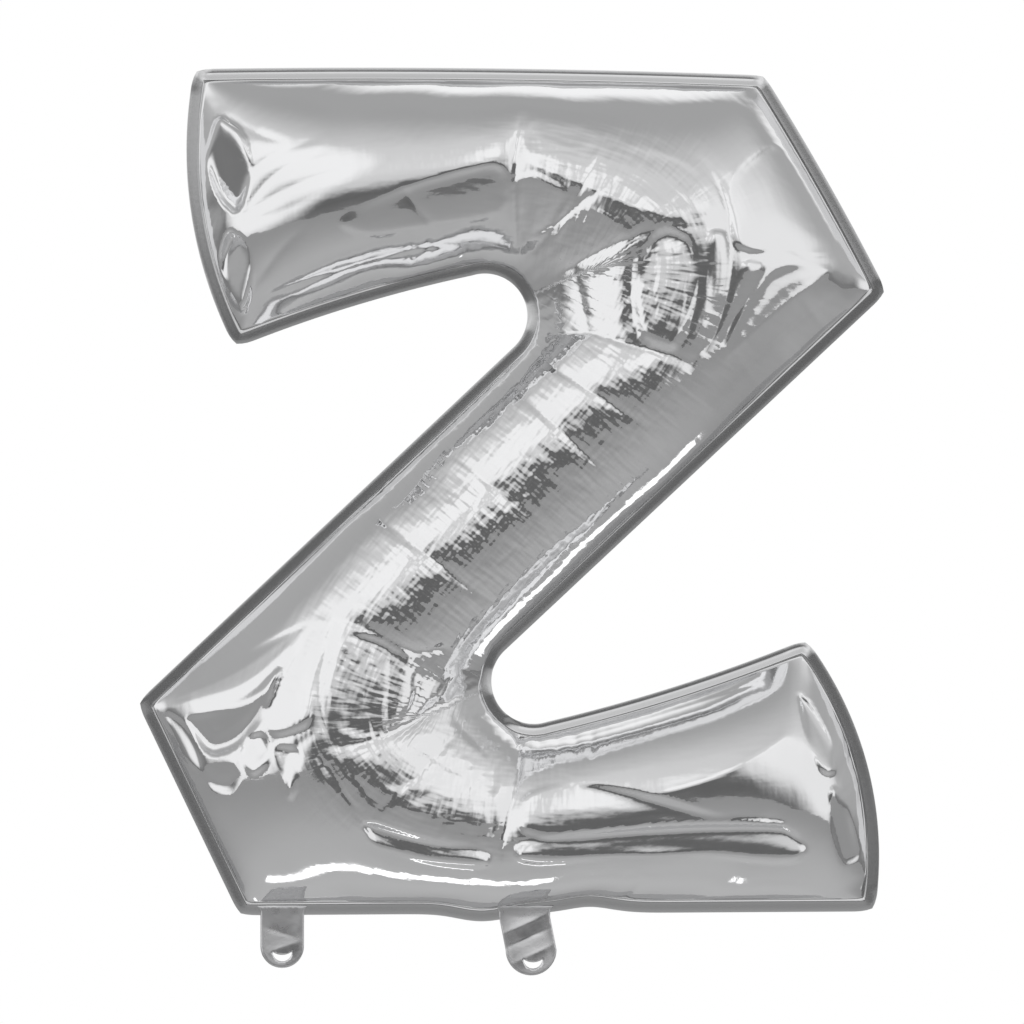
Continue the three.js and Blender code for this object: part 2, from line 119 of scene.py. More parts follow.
# Pressed-in forms, in [x, z], the same on the front film and the back film.
# A facet: its corners, how flat, how far its middle swells out, and how it thickens to +x and to +z.
FACETS = [
    # top arm's end: the upper leaf, then the lower
    ([(-118, 152), (-106, 143), (-102, 128), (-109, 108), (-118, 117), (-123, 134)], 1, 0, (0.15, 0.42)),
    ([(-113, 105), (-105, 100), (-102, 86), (-106, 70), (-111, 74), (-118, 92)], 1, 0.3, (0.3, -0.45)),
    # bottom arm's end: the upper leaf, then the lower
    ([(113, -78), (120, -85), (128, -100), (130, -112), (123, -113), (116, -98)], 1, 0.3, (0, -0.25)),
    ([(125, -116), (131, -118), (137, -135), (140, -147), (131, -150), (126, -135)], 1, 0.4, (0, 0.1)),
    # top arm: its underside, nearly flat towards the bend
    ([(-72, 106), (-50, 117), (-30, 124), (-2, 131), (-2, 108), (-30, 105), (-56, 99)],
     0.7, 0.3, (0, -0.17)),
    # top bend, first segment: outer, inner
    ([(6, 149), (38, 140), (27, 124), (4, 134)], 0.7, 0.6, (0, -0.03)),
    ([(3, 129), (24, 119), (18, 107), (8, 97), (3, 98)], 0.7, 0.3, (0, 0.03)),
    # top bend, second segment: outer, inner
    ([(43, 139), (74, 128), (82, 108), (66, 108), (46, 120), (34, 124)], 0.5, 0.8, (0, -0.03)),
    ([(27, 116), (52, 101), (30, 88), (15, 92), (19, 103)], 0.7, 0.3, (0, 0.03)),
    # top bend: the pillow before the diagonal, the small one inside it, the lens outside it
    ([(53, 100), (62, 104), (71, 99), (74, 84), (70, 66), (64, 54), (51, 59), (47, 76)],
     0.8, 1.6, (0, -0.13)),
    ([(31, 87), (44, 92), (46, 76), (45, 61), (31, 64), (27, 75)], 0.6, 0.8, (0, -0.03)),
    ([(76, 103), (86, 103), (89, 82), (83, 62), (74, 50), (77, 72)], 0.8, 0.6, (0, 0.06)),
    # right shoulder, and the two wedges that fan out below it
    ([(105, 141), (116, 124), (130, 101), (128, 94), (88, 93), (86, 106), (87, 126)], 0.4, 1, (0, -0.08)),
    ([(132, 90), (108, 73), (82, 48), (92, 72), (104, 90)], 0.8, 0.3, (0.1, -0.1)),
    ([(90, 92), (102, 90), (92, 73), (80, 50), (89, 78)], 0.7, 0.3, (0.1, 0.1)),
    # bottom bend: the pillow after the diagonal, and the lit flank outside it
    ([(-67, -54), (-52, -57), (-39, -66), (-38, -84), (-48, -96), (-66, -97), (-74, -80)],
     0.7, 1.2, (0, -0.03)),
    ([(-80, -52), (-73, -52), (-78, -72), (-78, -92), (-92, -97), (-100, -93), (-90, -72)],
     0.8, 1, (0.1, -0.1)),
    # bottom bend: the lit inside, then the three plates of the outer ring
    ([(-47, -97), (-28, -78), (-22, -92), (-6, -108), (-5, -122), (-28, -109)], 0.6, 1, (0, -0.05)),
    ([(-62, -103), (-46, -101), (-31, -112), (-49, -120)], 0.8, 0.3, (0, 0.05)),
    ([(-48, -123), (-30, -115), (-18, -121), (-35, -130)], 0.8, 0.3, (0, -0.05)),
    ([(-33, -131), (-17, -123), (-5, -128), (-7, -138)], 0.8, 0.3, (0, 0.05)),
    # left point: the leaf by the weld, and the wedge that runs out of the diagonal
    ([(-139, -87), (-130, -91), (-123, -102), (-122, -113), (-130, -109), (-136, -97)],
     1, 0.3, (-0.45, -0.35)),
    ([(-139, -84), (-120, -83), (-103, -76), (-88, -62), (-78, -49), (-118, -70)], 0.6, 1.5, (0, -0.08)),
    # the grey triangle between that wedge, the weld and the bottom bend, and the patch below it
    ([(-132, -89), (-118, -87), (-102, -80), (-89, -66), (-96, -88), (-108, -102), (-121, -106)],
     1, 0.6, (0, 0.36)),
    ([(-124, -107), (-109, -103), (-106, -112), (-111, -120), (-121, -118)], 0.9, 0.3, (0, 0.22)),
    # the two light tips that hang below that flank
    ([(-108, -97), (-97, -94), (-95, -107), (-102, -113), (-107, -108)], 1, 0.4, (0, -0.3)),
    ([(-94, -99), (-83, -101), (-83, -110), (-87, -124), (-91, -112)], 1, 0.4, (0, -0.25)),
    # bottom arm: its front drawn down to the long crease
    ([(2, -118), (30, -114), (58, -120), (84, -128), (108, -130), (108, -133), (60, -133), (2, -138)],
     0.6, 0.8, (0, -0.1)),
    # bottom arm: the shelf between its two long creases, and its twin under the bottom bend
    ([(1, -137), (60, -131), (108, -131), (119, -142), (112, -149), (60, -143), (1, -149)],
     1, 0.3, (0, -0.5)),
    ([(-60, -128), (-34, -137), (-8, -142), (-8, -150), (-36, -147), (-56, -139)], 1, 0.3, (0, -0.5)),
]
# A facet flattens over FACET_EDGE inside its line, and is levelled with the film within FACET_RIM of it
FACET_EDGE, FACET_POWER = 1.3, 1.3
FACET_RIM = 2.5
# Gathers: short folds that start at the weld, with reaches and depths within bounds
GATHER_COUNT = 17
GATHER_REACH = 9.0
GATHER_SPREAD = (0.6, 1.4)
GATHER_DEPTHS = (0.25, 0.6)
GATHER_WIDTH = 1.3
GATHER_FADE = (0.8, 1, 0.6, 0)


def unit(vectors):
    """Each row's vector, made one long."""
    return vectors / np.linalg.norm(vectors, axis=1)[:, None]


def gathers(weld_stretch):
    """Folds into the film, which lies left of travel along a stretch of the weld."""
    random = np.random.default_rng(GATHER_SEED)
    line = np.array(weld_stretch, float)
    spots = np.linspace(0, len(line) - 1, GATHER_COUNT)
    places = np.stack([np.interp(spots, range(len(line)), line[:, axis]) for axis in (0, 1)], 1)
    along = np.gradient(places, axis=0)
    inward = unit(np.stack([-along[:, 1], along[:, 0]], 1))
    reach = GATHER_REACH * random.uniform(*GATHER_SPREAD, GATHER_COUNT)
    depth = random.uniform(*GATHER_DEPTHS, GATHER_COUNT)
    return [
        ([start + step, start + step * length], GATHER_WIDTH, deep, GATHER_FADE)
        for start, step, length, deep in zip(places, inward, reach, depth)
    ]


# A fold's section: a sharp V and rounded shoulders, each with its share of the depth and of the width,
# and how far to its sides it is worked out, in widths
SHARP_SHARE, SHARP_WIDTH = 0.4, 0.35
BROAD_SHARE, BROAD_WIDTH, BROAD_POWER = 0.6, 1.6, 1.5
FOLD_REACH = 6
FOLD_MARKS = [0, 0.2, 0.7, 1]
# A fold: its line, width, depth (less than nothing for a ridge), and the share of it at the four marks.
FOLDS = [
    # top bend: its two mitres, and the mitre into the diagonal
    ([(1, 98), (0, 115), (1, 133), (5, 153)], 4, 3, (0.5, 1, 1, 0)),
    ([(22, 88), (38, 97), (60, 104), (86, 104)], 3, 1, (1, 1, 0.8, 0.2)),
    ([(15, 62), (30, 64), (48, 57), (66, 53), (74, 49)], 4, 1.8, (1, 1, 0.8, 0)),
    # top bend: between its segments, and along the ring
    ([(8, 95), (22, 110), (30, 124), (41, 141)], 3, 0.9, (1, 1, 0.7, 0)),
    ([(3, 131), (26, 121), (48, 111), (66, 107)], 5, -1.2, (0.5, 1, 1, 0.5)),
    # top bend: the white squiggle across its inner plates
    ([(9, 102), (20, 107), (27, 114), (37, 119)], 2, 0.7, (0.5, 1, 1, 0.3)),
    # top bend: the pillows' edges, from the inside out
    ([(24, 88), (27, 75), (29, 63)], 2.5, 0.8, (0.6, 1, 1, 0.6)),
    ([(47, 93), (46, 76), (49, 58)], 2.5, 0.9, (0.6, 1, 1, 0.6)),
    ([(72, 100), (75, 84), (70, 64)], 2.5, 0.7, (0.6, 1, 1, 0.6)),
    ([(75, 131), (84, 118), (86, 103), (87, 82), (80, 60), (70, 50)], 3, 1.8, (0.3, 1, 0.6, 0.3)),
    # right shoulder: its ragged lower edge, and the fan out of the right point
    ([(86, 100), (94, 92), (108, 97), (118, 92), (130, 92)], 2.5, 0.8, (0.3, 1, 1, 0)),
    ([(131, 80), (106, 60), (78, 34)], 6, 2, (0, 1, 1, 0)),
    ([(128, 89), (110, 76), (90, 58), (78, 45)], 4, -1, (0.3, 1, 1, 0)),
    ([(104, 92), (92, 74), (80, 56)], 3, 0.7, (0, 1, 1, 0.3)),
    # top arm: the streaks that start between the leaves, and a kink half way along
    ([(-106, 110), (-88, 121), (-55, 131)], 4, 0.9, (1, 1, 0.5, 0)),
    ([(-105, 114), (-94, 127), (-70, 136)], 4, 0.9, (1, 1, 0.5, 0)),
    ([(-103, 128), (-92, 135), (-74, 141)], 3, 0.7, (1, 1, 0.5, 0)),
    ([(-106, 107), (-92, 110), (-74, 119)], 3, 0.5, (1, 1, 0.4, 0)),
    ([(-115, 151), (-102, 142), (-88, 138)], 3, 0.9, (0.3, 1, 0.6, 0)),
    ([(-101, 84), (-92, 96), (-80, 106)], 2.5, 0.8, (0.5, 1, 0.6, 0)),
    ([(-44, 121), (-38, 112), (-28, 101)], 2, 0.5, (0, 1, 1, 0)),
    # along the weld of the upper bay and of the lower
    ([(-104, 76), (-70, 88), (-35, 97), (-8, 98)], 3, 0.8, (0, 1, 1, 0)),
    ([(4, -101), (30, -97), (60, -88), (105, -74)], 2.5, 0.7, (0, 1, 1, 0)),
    # kinks across the diagonal
    ([(5, 57), (30, 40), (56, 23)], 2, 0.9, (0, 1, 1, 0)),
    ([(-8, 50), (15, 28), (39, 6)], 2, 0.9, (0, 1, 1, 0)),
    ([(-59, -5), (-33, -25), (-7, -45)], 2, 0.9, (0, 1, 1, 0)),
    ([(-30, 20), (-8, 2), (20, -18)], 2, 0.5, (0, 1, 1, 0)),
    # bottom bend: its mitre, the mitre out of the diagonal and the one between
    ([(4, -96), (1, -118), (-4, -136), (-6, -153)], 3.5, 3, (1, 1, 1, 0.2)),
    ([(-27, -62), (-38, -64), (-52, -56), (-76, -46)], 3.5, 1.6, (1, 1, 0.8, 0)),
    ([(-22, -82), (-40, -92), (-58, -99), (-76, -101)], 3.5, 1.5, (1, 1, 0.8, 0.2)),
    ([(-14, -88), (-26, -100), (-46, -120), (-58, -130)], 3, 0.8, (1, 1, 0.7, 0)),
    # bottom bend: the pillow's edges, and the flank outside it
    ([(-37, -66), (-36, -80), (-45, -95)], 2.5, 0.9, (0.6, 1, 1, 0.6)),
    ([(-70, -52), (-76, -70), (-76, -88), (-70, -99)], 2.5, 0.9, (0.6, 1, 1, 0.6)),
    ([(-76, -48), (-90, -68), (-103, -90), (-109, -99)], 3, 0.9, (0.3, 1, 1, 0.3)),
    # left point: the ridge above the grey triangle
    ([(-138, -86), (-118, -82), (-102, -76), (-88, -62)], 8, -2.2, (0.2, 1, 1, 0.6)),
    # bottom bend: the crumple at the foot of that flank
    ([(-78, -95), (-90, -104), (-88, -121)], 2.5, 0.6, (0.5, 1, 1, 0)),
    ([(-78, -92), (-98, -100), (-104, -112)], 2.5, 0.6, (0.5, 1, 1, 0)),
    # ridge over the grey wedge at the bottom arm's end
    ([(48, -121), (76, -115), (98, -104), (108, -97)], 7, -1.4, (0.2, 1, 1, 0.5)),
    # streaks under the bottom bend
    ([(-77, -103), (-69, -113), (-59, -130)], 2.5, 1, (0.5, 1, 1, 0)),
    ([(-67, -104), (-61, -114), (-50, -127)], 2.5, 0.8, (0.5, 1, 1, 0)),
    # where the long creases meet at the bottom arm's end
    ([(98, -128), (108, -134), (118, -143)], 2.5, 0.7, (0, 1, 1, 0)),
    # ribs of the pillow before the diagonal, and of the one after it
    *((rib, 1.8, 0.6, (0.3, 1, 1, 0.3)) for rib in [
        [(56, 101), (55, 80), (57, 58)],
        [(62, 103), (63, 80), (61, 56)],
        [(68, 100), (70, 82), (66, 60)],
        [(37, 89), (36, 75), (38, 63)],
        [(-64, -56), (-67, -76), (-63, -96)],
        [(-56, -57), (-58, -76), (-54, -96)],
        [(-47, -62), (-48, -78), (-49, -93)],
    ]),
    # gathers round the ends of the two bays
    *gathers([(-40, 91), (-12, 90), (2, 84), (8, 72), (6, 60)]),
    *gathers([(32, -95), (4, -94), (-8, -86), (-14, -74), (-12, -62)]),
    # short nick above the tail
    ([(44, -164), (50, -158), (53, -152)], 1.5, 0.5, (1, 1, 1, 0)),
]


# The line down the middle of the letter's limbs
LIMBS = [
    (-125, 112), (-5, 126), (52, 112), (62, 76), (0, 0), (-62, -76), (-52, -112), (5, -124), (140, -115),
]
# How strong the material's fine ripples are at marks along that line, and at two distances from it
RIPPLE_MARKS = [0, 0.16, 0.24, 0.33, 0.5, 0.67, 0.76, 0.84, 1]
RIPPLE_DEPTHS = [0.08, 0.15, 0.9, 1.1, 1.5, 1.1, 0.9, 0.2, 0.1]
RIPPLE_DISTANCES, RIPPLE_SHARES = [22, 45], [1, 0.15]


# Flat film

# For delaunay_2d_cdt: keep what is inside the loops, and take points this close for one
KEEP_INSIDE, SAME_POINT = 1, 1e-6
# Twice the area under which a triangle is left out
SLIVER = 1e-3
# How far a grid's points lie off their rows, and how far they keep from the line, in steps
GRID_JITTER = 0.08
FILM_CLEAR, TAB_CLEAR = 0.62, 0.55


def arc_points(start, end, bow, count):
    """Points from start, included, to end, left out, on an arc that bows to the left of travel."""
    t = np.arange(count) / count
    along = end - start
    chord = np.linalg.norm(along)
    left = np.array([-along[1], along[0]]) / chord
    if bow == 0:
        return start + t[:, None] * along
    radius = (chord * chord / 4 + bow * bow) / (2 * abs(bow))
    angle = (2 * t - 1) * math.asin(chord / 2 / radius)
    across = radius * np.sin(angle) / chord + 0.5
    height = (radius * np.cos(angle) - radius + abs(bow)) * np.sign(bow)
    return start + across[:, None] * along + height[:, None] * left


def weld_legs(corners, radius):
    """The weld line's sides and the round ends of its bays, each as (start, end, bow)."""
    count = len(corners)

    def bay_ends(k):
        at = corners[k][0]
        before = corners[k - 1][0] - at
        after = corners[(k + 1) % count][0] - at
        before, after = before / np.linalg.norm(before), after / np.linalg.norm(after)
        half = math.acos(before @ after) / 2
        reach = radius / math.tan(half)
        return at + before * reach, at + after * reach, radius * (1 - math.sin(half))

    legs = []
    for k, (at, bow, bay) in enumerate(corners):
        following = (k + 1) % count
        end = bay_ends(following)[0] if corners[following][2] else corners[following][0]
        if bay:
            first, last, sagitta = bay_ends(k)
            legs += [(first, last, -sagitta), (last, end, bow)]
        else:
            legs.append((at, end, bow))
    return legs


def weld_lines(finer):
    """The weld line's points on the flat film and on the blown letter."""
    flat = [(np.array(row[0:2], float), row[2], row[6]) for row in WELD]
    blown = [(np.array(row[3:5], float), row[5], row[6]) for row in WELD]
    flat_legs = weld_legs(flat, FLAT_BAY_RADIUS)
    counts = []
    for start, end, bow in flat_legs:
        chord = np.linalg.norm(end - start)
        closer = BAY_END_DENSITY if bow < BAY_END_BOW else 1
        counts.append(finer * round((chord + 8 * bow * bow / (3 * chord)) / FIRST_STEP * closer))
    return [
        np.vstack([arc_points(*leg, count) for leg, count in zip(legs, counts)])
        for legs in (flat_legs, weld_legs(blown, BAY_RADIUS))
    ]


def outward_of(line):
    """At each point of a closed clockwise line, the way out of the letter, turning evenly at a corner."""
    along = np.roll(line, -1, 0) - np.roll(line, 1, 0)
    outward = unit(np.stack([-along[:, 1], along[:, 0]], 1))
    for _ in range(CORNER_EASE):
        outward = unit(np.roll(outward, 1, 0) + outward + np.roll(outward, -1, 0))
    return outward


def to_segment(points, a, b):
    """Where on a segment each point's nearest place is, from 0 to 1, and how far away."""
    ab = b - a
    t = np.clip(((points - a) @ ab) / (ab @ ab), 0, 1)
    return t, np.linalg.norm(a + t[:, None] * ab - points, axis=1)


def inside_depth(points, loop):
    """How far each point lies inside a closed line, negative outside."""
    nearest = np.full(len(points), np.inf)
    inside = np.zeros(len(points), bool)
    for a, b in zip(loop, np.roll(loop, -1, 0)):
        nearest = np.minimum(nearest, to_segment(points, a, b)[1])
        if a[1] != b[1]:
            straddles = (a[1] > points[:, 1]) != (b[1] > points[:, 1])
            crossing = a[0] + (b[0] - a[0]) * (points[:, 1] - a[1]) / (b[1] - a[1])
            inside ^= straddles & (points[:, 0] < crossing)
    return np.where(inside, nearest, -nearest)


def turns_of(places, triangles):
    """The cross product of each triangle's sides: twice its area, positive when counterclockwise."""
    a, b, c = (places[triangles[:, k]] for k in range(3))
    return np.cross(b - a, c - a)


def summed(triangles, vectors, count):
    """For each point, the sum of the vectors of the triangles that meet there."""
    corners, spread = triangles.ravel(), np.repeat(vectors, 3, axis=0)
    return np.stack([np.bincount(corners, spread[:, k], minlength=count) for k in range(3)], 1)


def triangulated(sites, loops):
    """Triangles between points, bounded by closed loops of their first points, counterclockwise."""
    edges = [(int(a), int(b)) for loop in loops for a, b in zip(loop, np.roll(loop, -1))]
    found = delaunay_2d_cdt([Vector(site) for site in sites], edges, [], KEEP_INSIDE, SAME_POINT)
    origin = [owners[0] for owners in found[3]]
    film = np.array([[origin[v] for v in face] for face in found[2]])
    film = film[np.abs(turns_of(sites, film)) > SLIVER]
    return np.where((turns_of(sites, film) > 0)[:, None], film, film[:, ::-1])


def grid_inside(loop, step, clear, seed):
    """Points in rows inside a closed line, each a little off its place."""
    low, high = loop.min(0), loop.max(0)
    grid = np.array([
        (x + (row % 2) * step / 2, z)
        for row, z in enumerate(np.arange(low[1], high[1], step * math.sqrt(3) / 2))
        for x in np.arange(low[0], high[0], step)
    ])
    grid += np.random.default_rng(seed).uniform(-GRID_JITTER, GRID_JITTER, grid.shape) * step
    return grid[inside_depth(grid, loop) > clear * step]


def cut_films():
    """Both films, flat, with one weld line between them: points, triangles, film of each, weld line."""
    rim = weld_lines(1)[0]
    count = len(rim)
    grid = grid_inside(rim, FIRST_STEP, FILM_CLEAR, FILM_SEED)
    film = triangulated(np.vstack([rim, grid]), [np.arange(count)])
    back = np.where(film >= count, film + len(grid), film)[:, ::-1]
    side = np.repeat([0, 1], len(film))
    return np.vstack([rim, grid, grid]), np.vstack([film, back]), side, np.arange(count)


def edges_of(triangles):
    """Each edge once, and for each triangle its three edges."""
    sides = np.sort(np.vstack([triangles[:, [0, 1]], triangles[:, [1, 2]], triangles[:, [2, 0]]]), 1)
    edges, which = np.unique(sides, axis=0, return_inverse=True)
    return edges, which.reshape(3, -1).T


def refine(flat, place, triangles, side, rim, level):
    """Splits every triangle into four, with the weld line's new points exactly on the line."""
    edges, which = edges_of(triangles)
    a, b, c = triangles.T
    ab, bc, ca = (len(flat) + which).T
    split = np.stack([a, ab, ca, ab, b, bc, ca, bc, c, ab, bc, ca], 1).reshape(-1, 3)
    after = np.roll(rim, -1)
    key = edges[:, 0] * len(flat) + edges[:, 1]
    wanted = np.minimum(rim, after) * len(flat) + np.maximum(rim, after)
    rim = np.stack([rim, len(flat) + np.searchsorted(key, wanted)], 1).ravel()
    flat = np.vstack([flat, flat[edges].mean(1)])
    place = np.vstack([place, place[edges].mean(1)])
    flat[rim] = weld_lines(2 ** level)[0]
    return flat, place, split, np.repeat(side, 4), rim


# Blowing up

def apart(pairs, count):
    """Sorts pairs of points into groups in which no point comes twice."""
    left = np.random.default_rng(SORT_SEED).permutation(len(pairs))
    groups = []
    while len(left):
        used = np.zeros(count, bool)
        group = []
        candidates = left
        while len(candidates):
            i, j = pairs[candidates].T
            rank = np.arange(len(candidates))
            first = np.full(count, len(candidates))
            np.minimum.at(first, i, rank)
            np.minimum.at(first, j, rank)
            chosen = (first[i] == rank) & (first[j] == rank)
            group.append(candidates[chosen])
            used[i[chosen]] = used[j[chosen]] = True
            candidates = candidates[~(used[i] | used[j])]
        groups.append(np.concatenate(group))
        left = np.setdiff1d(left, groups[-1], assume_unique=True)
    return [pairs[group].T for group in groups]


def bottom_pull(x):
    """How far the bottom weld is drawn up, on either side of the tail."""
    return sum(pull * np.exp(-((x - middle) / PULL_WIDTH) ** 2) for middle, pull in BOTTOM_PULLS)


def neighbour_gap(edges, rim, count):
    """A function for how far each point's value is from its neighbours' mean, nothing on the weld."""
    ends = np.concatenate([edges[:, 0], edges[:, 1]])
    others = np.concatenate([edges[:, 1], edges[:, 0]])[np.argsort(ends, kind="stable")]
    starts = np.searchsorted(np.sort(ends), np.arange(count))
    degree = np.bincount(ends, minlength=count)[:, None]
    free = np.ones((count, 1))
    free[rim] = 0
    return lambda values: (np.add.reduceat(values[others], starts, axis=0) / degree - values) * free


def hold_lengths(moved, groups, rests, firm):
    """Draws in the edges that have grown, and pushes out by firm those that have shrunk."""
    for (i, j), rest in zip(groups, rests):
        gap = moved[j] - moved[i]
        length = np.sqrt((gap * gap).sum(1))
        excess = (length - rest) / np.maximum(length, 1e-9) * 0.5
        pull = gap * np.where(excess > 0, excess, firm * excess)[:, None]
        moved[i] += pull
        moved[j] -= pull


def weld_height(height, level):
    """How far the weld is out of its plane: nothing on level 0, evened out along it on the finer ones."""
    height = height * (WELD_SWAY if level else 0)
    for _ in range(2 ** level):
        height = (np.roll(height, 1) + 2 * height + np.roll(height, -1)) / 4
    return height


def relax(flat, place, triangles, rim, level, rounds, push, stiff, firm=0.0):
    """Air pushes the films out, edges can't grow, and folds are smoothed; firm resists shortening."""
    count = len(flat)
    edges, _ = edges_of(triangles)
    groups = apart(edges, count)
    rests = [np.linalg.norm(flat[i] - flat[j], axis=1) for i, j in groups]
    curl = neighbour_gap(edges, rim, count)
    areas = np.repeat(np.abs(turns_of(flat, triangles)) / 6, 3)
    share = np.bincount(triangles.ravel(), areas, minlength=count)[:, None]
    rim_flat, rim_blown = weld_lines(2 ** level)
    rim_blown[:, 1] += np.where(rim_blown[:, 1] < BOTTOM_Z, bottom_pull(rim_blown[:, 0]), 0)
    speed = np.zeros_like(place)
    for step in range(rounds):
        moved = place + speed
        if push:
            force = summed(triangles, turns_of(place, triangles) / 6, count)
            moved += force / share * push * (1 if level else AIR_LEFT ** (step / rounds))
        hold_lengths(moved, groups, rests, firm)
        moved -= stiff * curl(curl(moved))
        drawn = 1.0 if level else min(1.0, step / (DRAWN_BY * rounds))
        line = rim_flat + (rim_blown - rim_flat) * drawn
        moved[rim] = np.stack([line[:, 0], weld_height(moved[rim, 1], level), line[:, 1]], 1)
        speed = (moved - place) * (FINE_DRIFT if level else FIRST_DRIFT)
        place = moved
    return place


# Pressed-in forms

def smooth_line(line, times=3):
    """An open line with its corners cut into a curve."""
    line = np.array(line, float)
    for _ in range(times):
        a, b = line[:-1], line[1:]
        cut = np.stack([a * 0.75 + b * 0.25, a * 0.25 + b * 0.75], 1).reshape(-1, 2)
        line = np.vstack([line[:1], cut, line[-1:]])
    return line


def smooth_loop(corners, times=2):
    """A closed line with its corners cut into a curve."""
    line = np.array(corners, float)
    for _ in range(times):
        after = np.roll(line, -1, 0)
        line = np.stack([line * 0.8 + after * 0.2, line * 0.2 + after * 0.8], 1).reshape(-1, 2)
    return line


def close_to(spot, line, reach):
    """The points within reach of a line's box."""
    return np.nonzero(((spot > line.min(0) - reach) & (spot < line.max(0) + reach)).all(1))[0]


def along_line(points, line):
    """Each point's distance to an open line, and how far along it the nearest place is, from 0 to 1."""
    spans = np.linalg.norm(np.diff(line, axis=0), axis=1)
    marks = np.concatenate([[0], np.cumsum(spans)]) / spans.sum()
    best = np.full(len(points), np.inf)
    where = np.zeros(len(points))
    for a, b, start, end in zip(line, line[1:], marks, marks[1:]):
        t, away = to_segment(points, a, b)
        where = np.where(away < best, start + t * (end - start), where)
        best = np.minimum(best, away)
    return best, where


def press_facet(place, own, spot, corners, flatness, swell, slope):
    """Draws the film inside a closed line to a flat facet with a crisp edge."""
    loop = smooth_loop(corners)
    near = close_to(spot, loop, FACET_RIM)
    depth = inside_depth(spot[near], loop)
    edge = near[np.abs(depth) < FACET_RIM]
    plane = np.linalg.lstsq(np.c_[spot[edge], np.ones(len(edge))], place[own[edge], 1], rcond=None)[0]
    chosen, depth = near[depth > 0], depth[depth > 0]
    outward = np.sign(place[own[chosen], 1].mean())
    lift = swell * depth / depth.max() + (spot[chosen] - loop.mean(0)) @ np.array(slope)
    target = np.c_[spot[chosen], np.ones(len(chosen))] @ plane + outward * lift
    weight = (1 - np.exp(-(depth / FACET_EDGE) ** FACET_POWER)) * flatness
    place[own[chosen], 1] += (target - place[own[chosen], 1]) * weight


def fold_depth(spot, line, width, depth, fade):
    """The depth of a fold: a sharp V with rounded shoulders."""
    curve = smooth_line(line)
    near = close_to(spot, curve, FOLD_REACH * width)
    away, where = along_line(spot[near], curve)
    sharp = SHARP_SHARE * np.exp(-away / (SHARP_WIDTH * width))
    broad = BROAD_SHARE * np.exp(-(away / (BROAD_WIDTH * width)) ** BROAD_POWER)
    total = np.zeros(len(spot))
    total[near] = depth * (sharp + broad) * np.interp(where, FOLD_MARKS, fade)
    return total


def normals_of(place, triangles):
    """The way out of the film at each point."""
    return unit(summed(triangles, turns_of(place, triangles), len(place)))


def pressed(place, triangles, side, rim):
    """The films with their facets and folds pressed in."""
    normal = normals_of(place, triangles)
    out = place.copy()
    for film in (0, 1):
        own = np.setdiff1d(np.unique(triangles[side == film]), rim)
        spot = place[own][:, [0, 2]]
        for corners, flatness, swell, slope in FACETS:
            press_facet(out, own, spot, corners, flatness, swell, slope)
        depth = sum(fold_depth(spot, *fold) for fold in FOLDS)
        out[own] -= normal[own] * depth[:, None]
    return out


def ripple_share(place):
    """How much of the ripples shows: a little more in the diagonal."""
    x, z = place[:, 0], place[:, 2]
    diagonal = np.exp(-(np.abs(x - z * DIAGONAL_SLOPE) / DIAGONAL_REACH) ** 3)
    return RIPPLES_EVERYWHERE + DIAGONAL_RIPPLES * diagonal


def blown_films():
    """Both films blown up, pressed and rippled: flat, place, triangles, film of each, weld line."""
    flat, triangles, side, rim = cut_films()
    place = np.stack([flat[:, 0], np.zeros(len(flat)), flat[:, 1]], 1)
    inner = (len(flat) - len(rim)) // 2
    place[len(rim):len(rim) + inner, 1] = -START_GAP
    place[len(rim) + inner:, 1] = START_GAP
    random = np.random.default_rng(NOISE_SEED)
    stages = STAGES
    for level, rounds, push, stiff in stages:
        if level:
            flat, place, triangles, side, rim = refine(flat, place, triangles, side, rim, level)
            place += random.normal(0, STAGE_NOISE, place.shape)
        place = relax(flat, place, triangles, rim, level, rounds, push, stiff)
    place = pressed(place, triangles, side, rim)
    start = place + random.normal(0, RIPPLE_NOISE, place.shape)
    rippled = relax(flat, start, triangles, rim, level, RIPPLE_ROUNDS, 0, RIPPLE_STIFFNESS, RIPPLE_FIRMNESS)
    place += ripple_share(place)[:, None] * (rippled - place)
    return flat, place, triangles, side, rim


# Meshes

# The materials' maps are in decimetres
MAP_UNIT = 100


def placed(name, data):
    """A new object in the scene."""
    obj = bpy.data.objects.new(name, data)
    bpy.context.collection.objects.link(obj)
    return obj


def new_piece(name, places, faces, uv, weld, along=None, ripple=None):
    """A mesh object from places in millimetres. Per point: its place on the flat film, how far it is
    welded, its place along and across the letter's limbs, and the strength of the fine ripples.
    """
    mesh = bpy.data.meshes.new(name)
    mesh.from_pydata((np.asarray(places) * MM).tolist(), [], faces)
    mesh.update()
    mesh.shade_smooth()
    corners = np.empty(len(mesh.loops), np.int32)
    mesh.loops.foreach_get("vertex_index", corners)
    for map_name, values in (("film", uv), ("along", uv if along is None else along)):
        layer = mesh.uv_layers.new(name=map_name)
        layer.uv.foreach_set("vector", (np.asarray(values)[corners] / MAP_UNIT).astype(np.float32).ravel())
    ripple = np.zeros(len(places)) if ripple is None else ripple
    for mark_name, values in (("weld", weld), ("ripple", ripple)):
        mark = mesh.attributes.new(mark_name, "FLOAT", "POINT")
        mark.data.foreach_set("value", np.asarray(values, np.float32))
    return placed(name, mesh)


